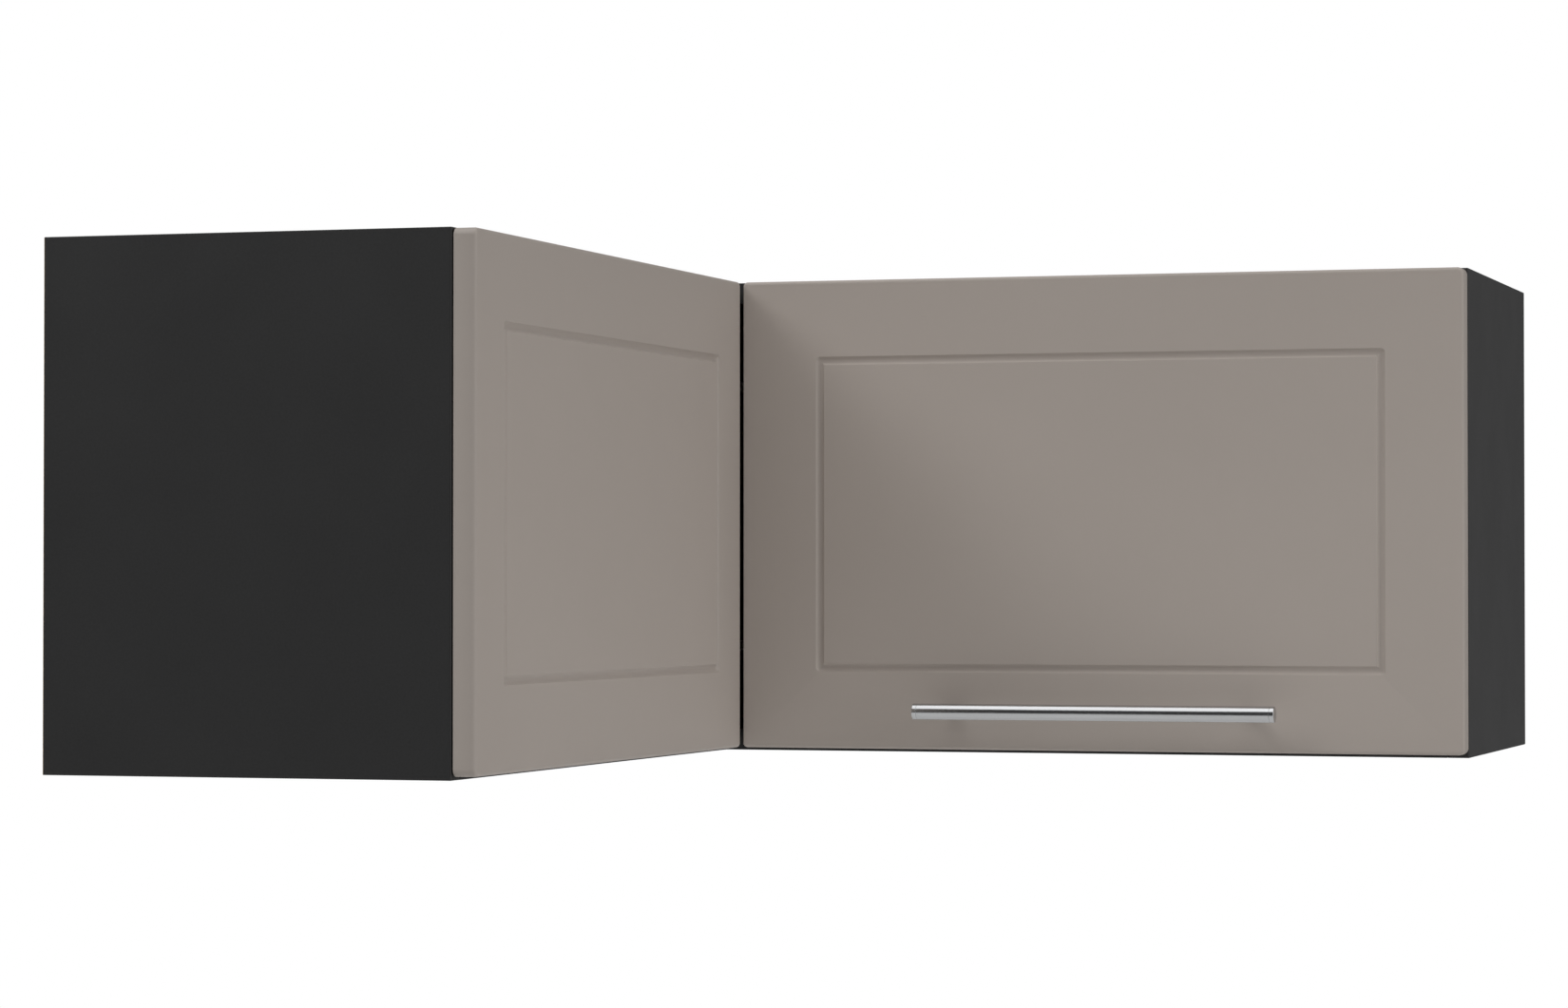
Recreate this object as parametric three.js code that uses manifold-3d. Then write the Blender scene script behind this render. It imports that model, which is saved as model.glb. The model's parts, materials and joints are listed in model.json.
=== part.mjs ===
// Corner wall cabinet: two wings at a right angle that hang in the corner of a room, closed by two
// doors that fold on each other and swing from the left end.
// Millimetres, +Z up. The origin is where the two walls meet, level with the underside.
// The right wing runs along +X with its back on the plane y = 0, and its doors face -Y.
// The left wing runs along -Y with its back on the plane x = 0, and its door faces +X.

import * as THREE from 'three';
import { mergeVertices } from 'three/addons/utils/BufferGeometryUtils.js';
import Module from 'manifold-3d';

const wasm = await Module();
wasm.setup();

// ---- Carcass ----
const wingLength = 866;
const cabinetHeight = 360;
const carcassDepth = 293;
const boardThickness = 16;
const boardEdgeRadius = 1;
const backInset = 12; // wall to the back sheets, the room that the wall rail takes
const backThickness = 3;
const backGrooveDepth = 6;
const stileSide = 18;
const stileChamfer = 5;
const seam = 0.3; // between pieces that are set against each other
const cutOverrun = 5; // how far a cut runs past the face that it leaves by

// ---- Sides of round shapes ----
const wideSides = 24; // cups and the handle
const camSides = 20;
const midSides = 16;
const pinSides = 12;
const boltSides = 8;
const cornerSteps = 3; // of a rounded corner of an outline

// ---- Doors ----
const doorThickness = 16;
const doorGap = 1; // carcass front to the back of a door
const doorEdgeInset = 0.5; // outer face of an end panel to the edge of its door
const doorBottomGap = 2.5;
const doorTopGap = 0.5;
const doorCornerRadius = 5;
const doorEdgeRadius = 2.5;
const leafGap = 2; // inner corner of the two faces to the end of each door
const grooveMargin = 58; // edge of a door to its groove
const leftStileMargin = 50; // the same at the two ends of the left door
const grooveWidth = 7;
const grooveFloorWidth = 1.5;
const grooveDepth = 2.2;

// ---- Cam fittings ----
const camSetback = 34; // end of a board to the centre of a cam
const camRadius = 7.3;
const camHeight = 12.4;
const camBoltInset = 50; // wall and front edge to the cam bolts
const boltPanelDepth = 10.5;
const boltThreadRadius = 2.4;
const boltShankRadius = 3.2;
const boltNeckRadius = 1.7;
const boltNeckLength = 5;
const boltHeadRadius = 3.1;
const boltHeadLength = 3;
const boltHeadChamfer = 0.5;
const boltTipChamfer = 1;
const boltClearance = 0.5;
const camDriveLength = 8;
const camDriveWidth = 1.6;
const camDriveDepth = 2;

// ---- Wall hangers ----
const hangerHeight = 52;
const hangerDepth = 46;
const hangerWidth = 18;
const hangerCornerRadius = 7;
const hangerDrop = 4; // underside of the top panel to a hanger
const hangerPlay = 2; // round a hanger where it looks through the back sheet
const hookThickness = 2.5;
const hookWidth = 11;
const hookWallRoom = 2; // wall to the back of a hook
const hookDrop = 20;
const hookReach = 30; // how far a hook runs into its hanger
const hookTopDrop = 14; // top of a hanger to the middle of its hook
const hangerScrewRadius = 2.4;
const hangerScrewHeadRadius = 4.4;
const hangerScrewHeadLength = 2.4;
const hangerScrewHeadChamfer = 0.7;
const hangerDriveLength = 5.2;
const hangerDriveWidth = 1;
const hangerDriveDepth = 1;
const hangerScrewLength = 14;
const hangerScrewTipPlay = 1;
const hangerScrewDrop = 32; // top of a hanger to its screw

// ---- Cup hinges, both kinds ----
const hingeInset = 80; // top and underside of the cabinet to the middle of a hinge
const cupRadius = 17.2;
const cupWall = 0.9;
const cupFloor = 0.7;
const cupDepth = 12.7;
const cupEdgeDistance = 22; // end of a door to the centre of a cup
const flangeThickness = 1.2;
const flangeLength = 62;
const flangeWidth = 14;
const flangeCornerRadius = 6;
const flangeLap = 0.5; // how far a flange runs down into the wall of its cup
const flangeStandIn = 16.6; // end of a door to the near edge of a flange, clear of the end panel

// ---- Wide opening hinges on the left end panel, in plan from the axis that the door turns on ----
const armPivot = new THREE.Vector2(-22, 23.76);
const elbowPivot = new THREE.Vector2(-45.65, 56.65);
const cupPivot = new THREE.Vector2(-10.9, 23.42);
const shortLinkKnee = new THREE.Vector2(-21.9, 35.94);
const linkHalfWidth = 3;
const linkThickness = 2.4;
const linkGap = 0.3;
const tongueThickness = 4;
const linkPinRadius = 1.5;
const linkPinClearance = 0.3;
const lugThickness = 1.5;
const lugLength = 6;
const lugRise = 2.5; // above the axis that the lugs stand beside
const plateSetback = 37; // front edge of the end panel to the middle of a hinge plate
const plateLength = 30;
const plateWidth = 14;
const plateThickness = 2;
const plateWingSpan = 48;
const plateWingWidth = 14;
const plateCornerRadius = 4;
const blockLength = 24;
const blockWidth = 8.4;
const blockHeight = 7.8;
const armPlay = 0.3; // round the block that an arm clips over
const armWall = 1.4;
const armDepth = 8; // of the channel that an arm is folded from
const armLength = 62;
const tongueLength = 12;
const tongueRoot = 4;

// ---- Folding hinges between the doors, in plan from their pin ----
const foldPinBehind = 6; // back of the right door to the pin
const foldPinRadius = 1.7;
const foldKnuckleRadius = 4;
const foldPinClearance = 0.25;
const foldMiddleKnuckle = 8;
const foldOuterKnuckle = 5;
const foldStrapThickness = 2.4;
const foldStrapBehind = 3; // back of the left door to the middle of a strap
const foldStrapDrop = 8; // middle of a cup to where its strap comes out
const foldPlateStart = 7; // pin to a plate on the right door
const foldPlateLength = 44;
const foldPlateHeight = 26;
const foldPlateThickness = 2;
const foldPinHeadRadius = 2.7;
const foldPinHeadLength = 1.2;

// ---- Bar handle on the right door ----
const barRadius = 6;
const barLength = 275;
const barHeight = 32; // above the underside of the cabinet
const barStandoff = 32; // door face to the middle of the bar
const barOffset = 5; // middle of the door to the middle of the bar
const barCapLength = 3.5;
const barCapLine = 0.4;
const barEndChamfer = 0.6;
const postInset = 25.5; // end of the bar to the middle of a post
const postRadius = 4.5;
const postBoreDepth = 12;
const handleScrewRadius = 2;
const handleScrewClearance = 0.3;
const handleScrewHeadRadius = 4.2;
const handleScrewHeadLength = 2.2;
const handleScrewHeadChamfer = 1;
const handleScrewReach = 10;

// ---- Bumpers ----
const bumperRadius = 4.5;
const bumperEdgeDistance = 14;
const bumperPlay = 0.15;

// ---- Worked out from the sizes above ----
const doorBack = carcassDepth + doorGap;
const doorFront = doorBack + doorThickness;
const doorHeight = cabinetHeight - doorBottomGap - doorTopGap;
const doorStart = doorFront + leafGap; // wall to the inner end of a door
const doorWidth = wingLength - doorEdgeInset - doorStart;
const innerLength = wingLength - boardThickness;
const innerHeight = cabinetHeight - 2 * boardThickness;
const camBoltRows = [camBoltInset, carcassDepth - camBoltInset]; // from the wall
const hingeHeights = { lower: hingeInset, upper: cabinetHeight - hingeInset };
const cupBoreRadius = cupRadius + seam;
const cupBoreDepth = cupDepth + seam;
const foldPinDepth = doorBack - foldPinBehind;
const foldPinAside = doorFront + leafGap / 2;
const handleMiddle = doorWidth / 2 + barOffset;
const halfPostSpacing = barLength / 2 - postInset;
const handleBores = [handleMiddle - halfPostSpacing, handleMiddle + halfPostSpacing];
const hangerTop = cabinetHeight - boardThickness - hangerDrop;
const hangerStart = backInset + backThickness + seam;
const stilePlace = backInset + backThickness + seam;
const cornerHangerStart = stilePlace + stileSide + seam;

const colours = {
  anthraciteBoard: [0x2e2e2e, 0.6, 0],
  paleFibreboard: [0xb9a583, 0.85, 0],
  taupeFoil: [0x92897f, 0.45, 0],
  brushedSteel: [0xbdbdbb, 0.3, 0.9],
  nickelSteel: [0xa9a8a4, 0.28, 0.9],
  zincSteel: [0x9aa0a4, 0.4, 0.9],
  greyPlastic: [0x8b8e90, 0.55, 0],
  clearRubber: [0xd8d6cf, 0.5, 0],
};

// ---- Solids ----

function toSolid(geometry) {
  const bare = geometry.clone();
  bare.deleteAttribute('normal');
  bare.deleteAttribute('uv');
  const merged = mergeVertices(bare, 1e-4);
  const vertProperties = new Float32Array(merged.attributes.position.array);
  const triVerts = new Uint32Array(merged.index.array);
  return new wasm.Manifold(new wasm.Mesh({ numProp: 3, vertProperties, triVerts }));
}

function toGeometry(solid) {
  const mesh = solid.getMesh();
  const geometry = new THREE.BufferGeometry();
  geometry.setAttribute('position', new THREE.BufferAttribute(mesh.vertProperties, 3));
  geometry.setIndex(new THREE.BufferAttribute(mesh.triVerts, 1));
  geometry.computeVertexNormals();
  return geometry;
}

function cutFrom(body, cutters) {
  return toGeometry(cutters.reduce((rest, cutter) => rest.subtract(toSolid(cutter)), toSolid(body)));
}

function joined(pieces) {
  return toGeometry(pieces.map(toSolid).reduce((whole, piece) => whole.add(piece)));
}

// A box between two corners.
function block([x0, y0, z0], [x1, y1, z1]) {
  const geometry = new THREE.BoxGeometry(x1 - x0, y1 - y0, z1 - z0);
  return geometry.translate((x0 + x1) / 2, (y0 + y1) / 2, (z0 + z1) / 2);
}

// A round rod along +Z from the origin.
function rod(radius, length, sides = pinSides) {
  return new THREE.CylinderGeometry(radius, radius, length, sides)
    .rotateX(Math.PI / 2)
    .translate(0, 0, length / 2);
}

// A turned piece along +Z, from points of radius and height.
function turned(profile, sides = midSides) {
  const points = profile.map(([radius, height]) => new THREE.Vector2(radius, height));
  return new THREE.LatheGeometry(points, sides).rotateX(Math.PI / 2);
}

function extruded(outline, depth, curveSegments = cornerSteps) {
  return new THREE.ExtrudeGeometry(outline, { depth, bevelEnabled: false, curveSegments });
}

function roundedRectangle(x0, y0, x1, y1, radius, Path = THREE.Shape) {
  const outline = new Path();
  outline.moveTo(x0 + radius, y0);
  outline.lineTo(x1 - radius, y0);
  outline.absarc(x1 - radius, y0 + radius, radius, -Math.PI / 2, 0);
  outline.lineTo(x1, y1 - radius);
  outline.absarc(x1 - radius, y1 - radius, radius, 0, Math.PI / 2);
  outline.lineTo(x0 + radius, y1);
  outline.absarc(x0 + radius, y1 - radius, radius, Math.PI / 2, Math.PI);
  outline.lineTo(x0, y0 + radius);
  outline.absarc(x0 + radius, y0 + radius, radius, Math.PI, 1.5 * Math.PI);
  return outline;
}

// A flat bar with round ends between two points in plan, centred on z = 0.
function linkBar(from, to, halfWidth, thickness) {
  const heading = Math.atan2(to.y - from.y, to.x - from.x);
  const outline = new THREE.Shape();
  outline.absarc(to.x, to.y, halfWidth, heading - Math.PI / 2, heading + Math.PI / 2);
  outline.absarc(from.x, from.y, halfWidth, heading + Math.PI / 2, heading + 1.5 * Math.PI);
  outline.closePath();
  return extruded(outline, thickness, 2 * cornerSteps).translate(0, 0, -thickness / 2);
}

// A strip that follows a bent line in plan, centred on z = 0.
function strip(points, halfWidth, thickness) {
  const legs = points.slice(1).map((point, i) => linkBar(points[i], point, halfWidth, thickness));
  return joined(legs);
}

// The same shape for the other wing: x and y change places across the corner.
function acrossCorner(geometry) {
  return reflected(geometry, new THREE.Matrix4().set(0, -1, 0, 0, -1, 0, 0, 0, 0, 0, 1, 0, 0, 0, 0, 1));
}

function upsideDown(geometry) {
  return reflected(geometry, new THREE.Matrix4().makeScale(1, 1, -1));
}

function reflected(geometry, matrix) {
  const other = geometry.clone().applyMatrix4(matrix);
  const count = other.attributes.position.count;
  const index = other.index ? other.index.array : Array.from({ length: count }, (_, i) => i);
  const turnedRound = new Uint32Array(index.length);
  for (let i = 0; i < index.length; i += 3) {
    turnedRound[i] = index[i];
    turnedRound[i + 1] = index[i + 2];
    turnedRound[i + 2] = index[i + 1];
  }
  other.setIndex(new THREE.BufferAttribute(turnedRound, 1));
  return other;
}

// ---- Scene graph ----

const cabinet = new THREE.Group();

function addPiece(name, geometry, colour, place = [0, 0, 0], parent = cabinet) {
  const [color, roughness, metalness] = colours[colour];
  const mesh = new THREE.Mesh(geometry, new THREE.MeshStandardMaterial({ color, roughness, metalness }));
  mesh.name = name;
  mesh.position.set(...place);
  parent.add(mesh);
}

function addGroup(place, turn = 0) {
  const group = new THREE.Group();
  group.position.set(...place);
  group.rotation.z = turn;
  cabinet.add(group);
  return group;
}

// One piece for each wing, drawn for the right wing.
function addToBothWings(nameFor, geometry, colour, [x, y, z]) {
  addPiece(nameFor('right'), geometry, colour, [x, y, z]);
  addPiece(nameFor('left'), acrossCorner(geometry), colour, [-y, -x, z]);
}

// ---- Carcass ----

// Upright board across the end of a wing, from the wall at y = 0 to the front.
function endPanelGeometry() {
  const r = boardEdgeRadius;
  const outline = new THREE.Shape();
  outline.moveTo(0, 0);
  outline.lineTo(0, -carcassDepth + r);
  outline.absarc(r, -carcassDepth + r, r, Math.PI, 1.5 * Math.PI);
  outline.absarc(boardThickness - r, -carcassDepth + r, r, 1.5 * Math.PI, 2 * Math.PI);
  outline.lineTo(boardThickness, 0);
  const board = extruded(outline, cabinetHeight);
  const groove = block(
    [-cutOverrun, -backInset - backThickness - seam, -cutOverrun],
    [backGrooveDepth, -backInset + seam, cabinetHeight + cutOverrun],
  );
  const boltHole = rod(boltThreadRadius + seam, boltPanelDepth + seam + cutOverrun, boltSides)
    .rotateY(Math.PI / 2)
    .translate(-cutOverrun, 0, 0);
  const boltHoles = [];
  for (const row of camBoltRows) {
    for (const height of [boardThickness / 2, cabinetHeight - boardThickness / 2]) {
      boltHoles.push(boltHole.clone().translate(0, -row, height));
    }
  }
  return cutFrom(board, [groove, ...boltHoles]);
}

// L-shaped board under both wings, with its inner face up.
function floorPanelGeometry() {
  const end = innerLength - seam;
  const outline = new THREE.Shape();
  outline.moveTo(0, 0);
  outline.lineTo(0, -end);
  outline.lineTo(carcassDepth, -end);
  outline.lineTo(carcassDepth, -carcassDepth);
  outline.lineTo(end, -carcassDepth);
  outline.lineTo(end, 0);
  const board = extruded(outline, boardThickness);
  const groove = block(
    [backInset - seam, -backInset - backThickness - seam, boardThickness - backGrooveDepth],
    [wingLength, -backInset + seam, boardThickness + cutOverrun],
  );
  const camHole = rod(camRadius + seam, camHeight + seam + cutOverrun, camSides)
    .translate(innerLength - camSetback, 0, boardThickness - camHeight - seam);
  const boltBore = rod(boltShankRadius + boltClearance, camSetback + cutOverrun, boltSides)
    .rotateY(Math.PI / 2)
    .translate(innerLength - camSetback, 0, boardThickness / 2);
  const rightCuts = [groove];
  for (const row of camBoltRows) {
    rightCuts.push(camHole.clone().translate(0, -row, 0));
    rightCuts.push(boltBore.clone().translate(0, -row, 0));
  }
  return cutFrom(board, [...rightCuts, ...rightCuts.map(acrossCorner)]);
}

// Thin sheet in the grooves, from the given start to the end panel, with a window for each hook.
// The windows are named by where their hangers start.
function backSheetGeometry(start, hangerPlaces) {
  const bottom = boardThickness - backGrooveDepth + seam;
  const end = innerLength + backGrooveDepth - seam;
  const outline = new THREE.Shape();
  outline.moveTo(start, bottom);
  outline.lineTo(end, bottom);
  outline.lineTo(end, cabinetHeight - bottom);
  outline.lineTo(start, cabinetHeight - bottom);
  for (const place of hangerPlaces) {
    outline.holes.push(roundedRectangle(
      place - hangerPlay,
      hangerTop - hangerHeight,
      place + hangerWidth + hangerPlay,
      hangerTop + hangerPlay,
      hangerPlay,
      THREE.Path,
    ));
  }
  return extruded(outline, backThickness).rotateX(Math.PI / 2);
}

function addBackSheets() {
  const endHanger = innerLength - seam - hangerWidth;
  const right = backSheetGeometry(stilePlace, [cornerHangerStart, endHanger]);
  const left = acrossCorner(backSheetGeometry(backInset, [endHanger]));
  addPiece('back_sheet_right', right, 'paleFibreboard', [0, -backInset, 0]);
  addPiece('back_sheet_left', left, 'paleFibreboard', [backInset, 0, 0]);
}

// Square batten that joins the two back sheets inside the corner.
function cornerStileGeometry() {
  const outline = new THREE.Shape();
  outline.moveTo(0, 0);
  outline.lineTo(0, -stileSide);
  outline.lineTo(stileSide - stileChamfer, -stileSide);
  outline.lineTo(stileSide, -stileSide + stileChamfer);
  outline.lineTo(stileSide, 0);
  return extruded(outline, innerHeight - 2 * seam);
}

// Cam in the inner face of a floor panel, open towards the bolt at +X, with its drive cross up.
function camGeometry() {
  const pocketHalf = boltShankRadius + boltClearance;
  const axis = camHeight - boardThickness / 2;
  const pocket = block(
    [-boltHeadLength / 2 - boltClearance, -pocketHalf, axis - pocketHalf],
    [camRadius + cutOverrun, pocketHalf, axis + pocketHalf],
  );
  const halfCross = camDriveLength / 2;
  const halfDrive = camDriveWidth / 2;
  const driveFloor = camHeight - camDriveDepth;
  const slot = block([-halfCross, -halfDrive, driveFloor], [halfCross, halfDrive, camHeight + cutOverrun]);
  return cutFrom(rod(camRadius, camHeight, camSides), [pocket, slot, slot.clone().rotateZ(Math.PI / 2)]);
}

// Turned bolt: thread in the end panel at +X, head in the cam, with x = 0 at the panel's face.
function camBoltGeometry() {
  const headEnd = -camSetback - boltHeadLength / 2;
  const headStart = headEnd + boltHeadLength;
  const neckEnd = headStart + boltNeckLength;
  const bolt = turned([
    [0, headEnd],
    [boltHeadRadius - boltHeadChamfer, headEnd],
    [boltHeadRadius, headEnd + boltHeadChamfer],
    [boltHeadRadius, headStart],
    [boltNeckRadius, headStart],
    [boltNeckRadius, neckEnd],
    [boltShankRadius, neckEnd],
    [boltShankRadius, -seam],
    [boltThreadRadius, -seam],
    [boltThreadRadius, boltPanelDepth - boltTipChamfer],
    [boltThreadRadius - boltTipChamfer, boltPanelDepth],
    [0, boltPanelDepth],
  ], boltSides);
  return bolt.rotateY(Math.PI / 2);
}

function addCamFittings() {
  const bolt = camBoltGeometry();
  const levels = {
    bottom: { cam: camGeometry(), rest: boardThickness - camHeight, axis: boardThickness / 2 },
    top: {
      cam: upsideDown(camGeometry()),
      rest: cabinetHeight - boardThickness + camHeight,
      axis: cabinetHeight - boardThickness / 2,
    },
  };
  const rows = { rear: camBoltRows[0], front: camBoltRows[1] };
  for (const [level, { cam, rest, axis }] of Object.entries(levels)) {
    for (const [side, row] of Object.entries(rows)) {
      const camPlace = [innerLength - camSetback, -row, rest];
      const boltPlace = [innerLength, -row, axis];
      addToBothWings((wing) => `cam_${wing}_${level}_${side}`, cam, 'zincSteel', camPlace);
      addToBothWings((wing) => `cam_bolt_${wing}_${level}_${side}`, bolt, 'zincSteel', boltPlace);
    }
  }
}

function addCarcass() {
  addToBothWings((wing) => `${wing}_end_panel`, endPanelGeometry(), 'anthraciteBoard', [innerLength, 0, 0]);
  addPiece('bottom_panel', floorPanelGeometry(), 'anthraciteBoard');
  addPiece('top_panel', upsideDown(floorPanelGeometry()), 'anthraciteBoard', [0, 0, cabinetHeight]);
  addBackSheets();
  const corner = [stilePlace, -stilePlace, boardThickness + seam];
  addPiece('corner_stile', cornerStileGeometry(), 'paleFibreboard', corner);
}

// ---- Wall hangers ----
// Side views are drawn with x as the distance from the wall and y as the height below the hanger's
// top, then stood up with their width running towards -X.

function stoodUp(geometry) {
  const basis = new THREE.Matrix4().makeBasis(
    new THREE.Vector3(0, -1, 0),
    new THREE.Vector3(0, 0, 1),
    new THREE.Vector3(-1, 0, 0),
  );
  return geometry.applyMatrix4(basis);
}

function hangerBodyGeometry() {
  const front = hangerStart + hangerDepth;
  const r = hangerCornerRadius;
  const outline = new THREE.Shape();
  outline.moveTo(hangerStart, -hangerHeight);
  outline.lineTo(front - r, -hangerHeight);
  outline.absarc(front - r, r - hangerHeight, r, -Math.PI / 2, 0);
  outline.absarc(front - r, -r, r, 0, Math.PI / 2);
  outline.lineTo(hangerStart, 0);
  const halfSlot = hookThickness / 2 + seam;
  const slotSide = (hangerWidth - hookWidth) / 2 - seam;
  const slot = block(
    [hangerStart - cutOverrun, -hookTopDrop - halfSlot, slotSide],
    [hangerStart + hookReach + seam, -hookTopDrop + halfSlot, hangerWidth - slotSide],
  );
  const screwBore = rod(hangerScrewRadius + seam, hangerScrewLength + cutOverrun)
    .rotateY(Math.PI / 2)
    .translate(front - hangerScrewLength, -hangerScrewDrop, hangerWidth / 2);
  return stoodUp(cutFrom(extruded(outline, hangerWidth), [slot, screwBore]));
}

// Flat steel hook that reaches back over the wall rail and turns down behind it.
function hangerHookGeometry() {
  const lip = hookWallRoom + hookThickness / 2;
  const hook = strip([
    new THREE.Vector2(hangerStart + hookReach - hookThickness / 2, -hookTopDrop),
    new THREE.Vector2(lip, -hookTopDrop),
    new THREE.Vector2(lip, -hookTopDrop - hookDrop),
  ], hookThickness / 2, hookWidth);
  return stoodUp(hook.translate(0, 0, hangerWidth / 2));
}

function hangerScrewGeometry() {
  const front = hangerStart + hangerDepth;
  const tip = hangerScrewTipPlay - hangerScrewLength;
  const headEnd = seam + hangerScrewHeadLength;
  const head = turned([
    [0, tip],
    [hangerScrewRadius, tip],
    [hangerScrewRadius, seam],
    [hangerScrewHeadRadius, seam],
    [hangerScrewHeadRadius, headEnd - hangerScrewHeadChamfer],
    [hangerScrewHeadRadius - hangerScrewHeadChamfer, headEnd],
    [0, headEnd],
  ], pinSides);
  const drive = block(
    [-hangerDriveLength / 2, -hangerDriveWidth / 2, headEnd - hangerDriveDepth],
    [hangerDriveLength / 2, hangerDriveWidth / 2, headEnd + cutOverrun],
  );
  const screw = cutFrom(head, [drive, drive.clone().rotateZ(Math.PI / 2)]);
  return stoodUp(screw.rotateY(Math.PI / 2).translate(front, -hangerScrewDrop, hangerWidth / 2));
}

function addHangers() {
  const pieces = {
    body: [hangerBodyGeometry(), 'greyPlastic'],
    hook: [hangerHookGeometry(), 'zincSteel'],
    screw: [hangerScrewGeometry(), 'zincSteel'],
  };
  const endPlace = [innerLength - seam, 0, hangerTop];
  const cornerPlace = [cornerHangerStart + hangerWidth, 0, hangerTop];
  for (const [piece, [geometry, colour]] of Object.entries(pieces)) {
    addToBothWings((wing) => `hanger_${piece}_${wing}`, geometry, colour, endPlace);
    addPiece(`hanger_${piece}_corner`, geometry, colour, cornerPlace);
  }
}

// ---- Doors ----
// A door is drawn from its left end at x = 0, its underside at z = 0 and its back at y = 0, with its
// face towards -Y.

function doorGeometry(stileMargin, backCuts) {
  const r = doorEdgeRadius;
  const outline = roundedRectangle(r, r, doorWidth - r, doorHeight - r, doorCornerRadius - r);
  const slab = new THREE.ExtrudeGeometry(outline, {
    depth: doorThickness,
    bevelThickness: r,
    bevelSize: r,
    bevelSegments: 3,
    curveSegments: cornerSteps,
  }).translate(0, 0, -r);
  const over = cutOverrun;
  const behind = block([-over, -over, -doorThickness], [doorWidth + over, doorHeight + over, 0]);
  const upright = (geometry) => geometry.rotateX(Math.PI / 2);
  return cutFrom(upright(slab), [upright(behind), upright(grooveCutter(stileMargin)), ...backCuts]);
}

// Ring that a round-nosed cutter would clear on a door's face, widest at the face.
function grooveCutter(stileMargin) {
  const flank = (grooveWidth - grooveFloorWidth) / 2;
  const nearX = stileMargin + flank;
  const nearY = grooveMargin + flank;
  const floor = roundedRectangle(nearX, nearY, doorWidth - nearX, doorHeight - nearY, grooveFloorWidth / 2);
  const farX = nearX + grooveFloorWidth;
  const farY = nearY + grooveFloorWidth;
  const island = new THREE.Path();
  island.moveTo(farX, farY);
  island.lineTo(doorWidth - farX, farY);
  island.lineTo(doorWidth - farX, doorHeight - farY);
  island.lineTo(farX, doorHeight - farY);
  floor.holes.push(island);
  return new THREE.ExtrudeGeometry(floor, {
    depth: cutOverrun,
    bevelThickness: grooveDepth,
    bevelSize: flank,
    bevelSegments: 2,
    curveSegments: cornerSteps,
  }).translate(0, 0, doorThickness);
}

// Bore for a hinge cup, from the back of a door.
function cupBore(along, height) {
  return rod(cupBoreRadius, cupBoreDepth + cutOverrun, wideSides)
    .rotateX(Math.PI / 2)
    .translate(along, cutOverrun, height);
}

function leftDoorGeometry() {
  const bores = [];
  for (const height of Object.values(hingeHeights)) {
    bores.push(cupBore(cupEdgeDistance, height - doorBottomGap));
    bores.push(cupBore(doorWidth - cupEdgeDistance, height - doorBottomGap));
  }
  return doorGeometry(leftStileMargin, bores);
}

function rightDoorGeometry() {
  const bore = rod(handleScrewRadius + handleScrewClearance, doorThickness + 2 * cutOverrun)
    .rotateX(Math.PI / 2)
    .translate(0, cutOverrun, barHeight - doorBottomGap);
  return doorGeometry(grooveMargin, handleBores.map((along) => bore.clone().translate(along, 0, 0)));
}

// ---- Hinge cups ----
// Turned cup that is let into the back of a door, with a flat flange on the door's back. It is drawn
// round the origin with its mouth at y = 0 and its floor towards -Y.

function cupGeometry(flangeFrom, lugs = []) {
  const inner = cupRadius - cupWall;
  const cup = turned([
    [0, -cupDepth],
    [cupRadius, -cupDepth],
    [cupRadius, 0],
    [inner, 0],
    [inner, cupFloor - cupDepth],
    [0, cupFloor - cupDepth],
  ], wideSides);
  const half = flangeLength / 2;
  const outline = roundedRectangle(flangeFrom, -half, flangeFrom + flangeWidth, half, flangeCornerRadius);
  const flange = extruded(outline, flangeLap + seam + flangeThickness).translate(0, 0, -flangeLap);
  const through = (radius) => rod(radius, 4 * cutOverrun, wideSides).translate(0, 0, -2 * cutOverrun);
  const doorSurface = block([-flangeLength, -flangeLength, -cutOverrun], [flangeLength, flangeLength, seam]);
  const outsideCup = cutFrom(doorSurface, [through(cupRadius)]);
  const seated = cutFrom(flange, [outsideCup, through(inner)]);
  return joined([cup, seated, ...lugs]).rotateX(-Math.PI / 2);
}

// ---- Wide opening hinges ----
// Drawn in plan from the axis that the left door turns on: the door's front lies along x = 0 and its
// end at y = 0, and the end panel's inner face lies at y = boardThickness.

function pivotHole(pivot, length) {
  return rod(linkPinRadius + linkPinClearance, length).translate(pivot.x, pivot.y, -length / 2);
}

// The two lugs in a cup that the short link ends between.
function cupLugs() {
  const along = cupPivot.y - doorEdgeInset - cupEdgeDistance;
  const top = -cupPivot.x - doorThickness + lugRise;
  const near = tongueThickness / 2 + 2 * linkGap;
  const lug = block(
    [along - lugLength / 2, near, cupFloor / 2 - cupDepth],
    [along + lugLength / 2, near + lugThickness, top],
  );
  return [lug, lug.clone().rotateX(Math.PI).translate(0, 0, top + cupFloor / 2 - cupDepth)];
}

function hingePlateGeometry() {
  const halfLength = plateLength / 2;
  const halfWidth = plateWidth / 2;
  const base = roundedRectangle(-halfLength, -halfWidth, halfLength, halfWidth, plateCornerRadius);
  const halfWing = plateWingWidth / 2;
  const halfSpan = plateWingSpan / 2;
  const wings = roundedRectangle(-halfWing, -halfSpan, halfWing, halfSpan, plateCornerRadius);
  const clip = block(
    [-blockLength / 2, -blockWidth / 2, plateThickness / 2],
    [blockLength / 2, blockWidth / 2, plateThickness + blockHeight],
  );
  return joined([extruded(base, plateThickness), extruded(wings, plateThickness), clip])
    .rotateX(-Math.PI / 2)
    .translate(-doorThickness - doorGap - plateSetback, boardThickness + seam, 0);
}

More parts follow.
